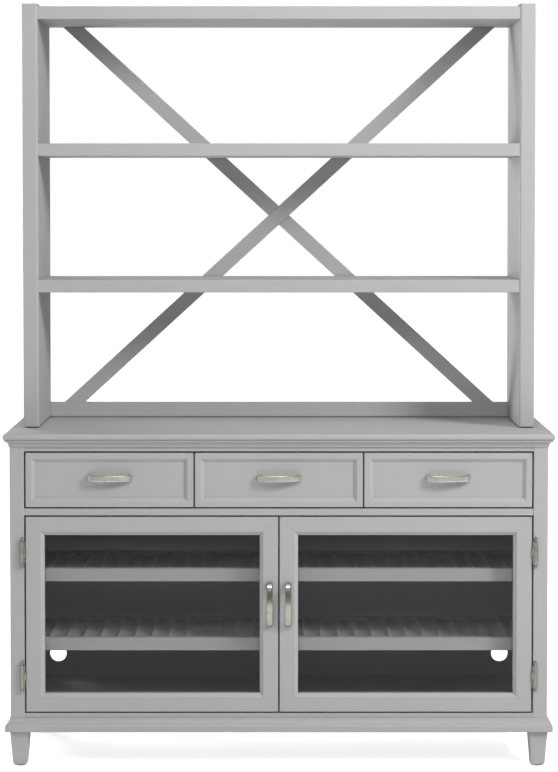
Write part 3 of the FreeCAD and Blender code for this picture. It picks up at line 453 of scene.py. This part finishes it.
panelScrews = {"edgeMm": 4.0, "bottomMm": 9.0, "topMm": 24.0, "headroomMm": 120.0, "upright": 5, "across": 7}
low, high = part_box("back_panel")
levels = np.linspace(low.z, high.z - panelScrews["headroomMm"] / 1000, panelScrews["upright"] + 2)[1:-1]
spread = np.linspace(low.x, high.x, panelScrews["across"] + 2)[1:-1]
sideX = high.x - panelScrews["edgeMm"] / 1000
rowLevels = (low.z + panelScrews["bottomMm"] / 1000, high.z - panelScrews["topMm"] / 1000)
places = [(sign * sideX, high.y, z) for sign in (-1, 1) for z in levels]
places += [(x, high.y, z) for z in rowLevels for x in spread]
screwHeads("back_panel_screws", places, panelHead, (0, 1, 0), zincSteel, "carcass")


def softBlock(name, middle, half, corner, material, body, steps=5):
    # a rounded rectangle in Y and Z carried along X; at each end the ring draws in by corner * (1 - cos a)
    # while it runs on by corner * sin a
    quarter = np.linspace(0, math.pi / 2, steps)
    turn = (np.arange(4)[:, None] * math.pi / 2 + quarter).ravel()
    signY, signZ = np.repeat([1, -1, -1, 1], steps), np.repeat([1, 1, -1, -1], steps)
    inset, run = corner * (1 - np.cos(quarter)), corner * np.sin(quarter)
    stations = np.concatenate([-(half[0] - corner) - run[::-1], half[0] - corner + run])[:, None]
    turned = corner - np.concatenate([inset[::-1], inset])[:, None]
    ringY = signY * (half[1] - corner) + turned * np.cos(turn)
    ringZ = signZ * (half[2] - corner) + turned * np.sin(turn)
    rings = np.stack([stations + 0 * ringY, ringY, ringZ], -1) + np.array(middle)
    shellMesh(name, rings[None], material, body)


# Magnetic catches under the drawer deck: nylon case, two steel poles, and a strike plate on each door
catchLook = {"inMm": 85.0, "bodyMm": (44.0, 15.0, 14.0), "poleMm": (28.0, 15.4, 1.8), "poleStepMm": 2.6,
             "strikeMm": (32.0, 0.8, 12.0), "strikeDropMm": 7.0, "gapMm": 0.3, "behindMm": 0.4,
             "bodyRoundMm": 1.5, "poleRoundMm": 0.3, "strikeRoundMm": 0.35}
halfBody, halfPole, halfStrike = (np.array(catchLook[k]) / 2000 for k in ("bodyMm", "poleMm", "strikeMm"))
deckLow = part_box("drawer_deck")[0].z
for side, sign in (("left", -1), ("right", 1)):
    doorLow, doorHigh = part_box(side + "_door_frame")
    x = sign * catchLook["inMm"] / 1000
    strikeFace = doorHigh.y + 2 * halfStrike[1]
    poleY = strikeFace + catchLook["gapMm"] / 1000 + halfPole[1]
    bodyZ = deckLow - halfBody[2]
    bodyY = poleY + catchLook["behindMm"] / 1000
    softBlock(side + "_catch", (x, bodyY, bodyZ), halfBody, catchLook["bodyRoundMm"] / 1000,
              mouldedNylon, "carcass")
    for word, step in (("low", -1), ("high", 1)):
        poleZ = bodyZ + step * catchLook["poleStepMm"] / 1000
        softBlock(f"{side}_catch_{word}_pole", (x, poleY, poleZ), halfPole, catchLook["poleRoundMm"] / 1000,
                  zincSteel, "carcass")
    strikeZ = doorHigh.z - catchLook["strikeDropMm"] / 1000
    softBlock(side + "_strike", (x, doorHigh.y + halfStrike[1], strikeZ), halfStrike,
              catchLook["strikeRoundMm"] / 1000, zincSteel, side + "_door")
print("screws and catches done")

# Studio: a pale floor, a soft white surround, a fairly small key lamp from the right that models the
# bevels and flutes, and broad lamps that fill.
studio = {
    "floorColour": "#f0f0f0", "floorRoughness": 0.9, "floorSize": 60.0, "floorGlow": 0.15,
    "floorLift": (0.7, 1.0), "floorFade": (1.5, 6.0),  # seen brightness, near and far, and where it changes
    "surround": 0.17, "behind": 1.0,
    "backdrop": 0.5, "backdropEdge": 0.25,  # a white card high behind, which shows in gloss alone
    "glareless": ("key",),  # left out of gloss, where it would burn out boards seen from behind
    "lamps": {
        "key": {"place": (3.44, -2.43, 3.32), "aim": (0.0, -0.2, 0.45), "size": 1.1, "watts": 170.0},
        "front": {"place": (0.0, -3.35, 3.3), "aim": (0.0, 0.0, 1.1), "size": 1.6, "watts": 53.0},
        "top": {"place": (0.0, -1.3, 4.2), "aim": (0.0, -0.25, 0.9), "size": 1.6, "watts": 12.0},
        "left": {"place": (-3.85, -1.03, 1.45), "aim": (0.0, 0.0, 1.1), "size": 2.0, "watts": 10.0},
        "back": {"place": (-2.7, 2.6, 1.7), "aim": (0.2, 0.0, 1.5), "size": 1.8, "watts": 130.0},
    },
}
half = studio["floorSize"] / 2
floorMesh = bpy.data.meshes.new("floor")
corners = [(-half, -half, 0), (half, -half, 0), (half, half, 0), (-half, half, 0)]
floorMesh.from_pydata(corners, [], [(0, 1, 2, 3)])
floor = bpy.data.objects.new("floor", floorMesh)
bpy.context.scene.collection.objects.link(floor)
# Matt pale floor: lifted towards white where it is seen, more with distance, so that no horizon shows
floorPaint, tree, shader, place = newMaterial("paleFloor")
shader.inputs["Base Color"].default_value = linear(studio["floorColour"])
shader.inputs["Roughness"].default_value = studio["floorRoughness"]
shader.inputs["Emission Color"].default_value = (1.0, 1.0, 1.0, 1.0)
seen = addNode(tree, "ShaderNodeLightPath").outputs["Is Camera Ray"]
away = addNode(tree, "ShaderNodeVectorMath", {0: place}, operation="LENGTH").outputs["Value"]
fade = addNode(tree, "ShaderNodeMapRange",
               {"Value": away, "From Min": studio["floorFade"][0], "From Max": studio["floorFade"][1],
                "To Min": studio["floorLift"][0], "To Max": studio["floorLift"][1]}).outputs[0]
lift = addNode(tree, "ShaderNodeMix", {0: seen, 2: studio["floorGlow"], 3: fade}).outputs[0]
tree.links.new(lift, shader.inputs["Emission Strength"])
floorMesh.materials.append(floorPaint)

world = bpy.data.worlds.new("surround")
world.use_nodes = True
tree = world.node_tree
tree.nodes.clear()
rays = addNode(tree, "ShaderNodeLightPath").outputs
towards = addNode(tree, "ShaderNodeTexCoord").outputs["Generated"]
parts = addNode(tree, "ShaderNodeSeparateXYZ", {0: towards}).outputs
least = addNode(tree, "ShaderNodeMath", {0: parts["Y"], 1: parts["Z"]}, operation="MINIMUM").outputs[0]
card = addNode(tree, "ShaderNodeMapRange",
               {"Value": least, "From Max": studio["backdropEdge"],
                "To Min": studio["surround"], "To Max": studio["backdrop"]}).outputs[0]
lit = addNode(tree, "ShaderNodeMix", {0: rays["Is Glossy Ray"], 2: studio["surround"], 3: card}).outputs[0]
strength = addNode(tree, "ShaderNodeMix",
                   {0: rays["Is Camera Ray"], 2: lit, 3: studio["behind"]}).outputs[0]
sky = addNode(tree, "ShaderNodeBackground", {"Color": (1.0, 1.0, 1.0, 1.0), "Strength": strength})
addNode(tree, "ShaderNodeOutputWorld", {"Surface": sky.outputs[0]})
bpy.context.scene.world = world

for name, look in studio["lamps"].items():
    lamp = bpy.data.lights.new(name, "AREA")
    lamp.size = look["size"]
    lamp.energy = look["watts"]
    stand = bpy.data.objects.new(name, lamp)
    stand.location = look["place"]
    stand.visible_glossy = name not in studio["glareless"]
    away = np.array(look["aim"]) - np.array(look["place"])
    rise = math.atan2(away[2], math.hypot(away[0], away[1]))
    stand.rotation_euler = (math.pi / 2 + rise, 0.0, math.atan2(-away[0], away[1]))
    bpy.context.scene.collection.objects.link(stand)

# Camera: almost level, the framing lowered by shift as the photograph's is
eye = {"place": (0.0, -5.841, 1.5884), "pitchDeg": 2.0, "lensMm": 95.3, "shiftX": 0.0002, "shiftY": -0.1549}
lens = bpy.data.cameras.new("camera")
lens.lens = eye["lensMm"]
lens.shift_x, lens.shift_y = eye["shiftX"], eye["shiftY"]
camera = bpy.data.objects.new("camera", lens)
camera.location = eye["place"]
camera.rotation_euler = (math.radians(90 - eye["pitchDeg"]), 0.0, 0.0)
bpy.context.scene.collection.objects.link(camera)
bpy.context.scene.camera = camera
bpy.context.scene.view_settings.view_transform = "Standard"
print("studio done")
